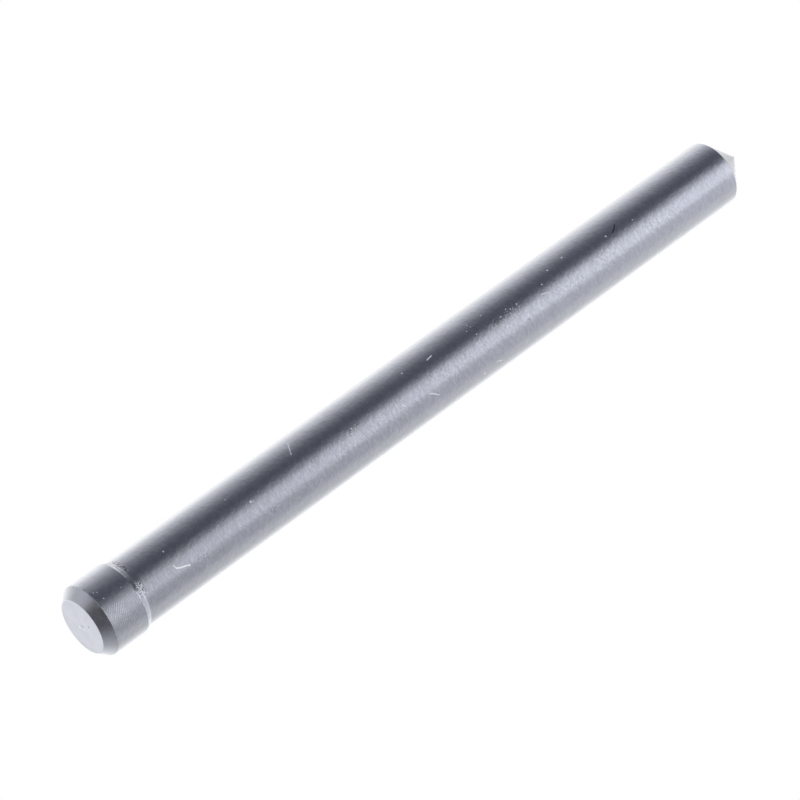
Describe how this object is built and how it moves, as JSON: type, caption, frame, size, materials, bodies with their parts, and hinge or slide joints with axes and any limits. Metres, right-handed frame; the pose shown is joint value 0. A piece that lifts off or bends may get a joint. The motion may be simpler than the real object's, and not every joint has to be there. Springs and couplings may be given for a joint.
{
  "type": "pilot pin",
  "caption": "Slim steel centring pin with a ground shank, a short chamfered head collar with a flat face, and a conical point.",
  "frame": {"origin": "centre of the flat head face", "axes": "+Z along the pin's axis, from the head face towards the point; the pin stands on its head face"},
  "size_m": [0.0068, 0.0068, 0.0801],
  "materials": {
    "ground_steel": "satin ground steel with a faint blue-grey cast"
  },
  "bodies": {
    "root": {"pilot_pin": "ground_steel"}
  },
  "joints": []
}
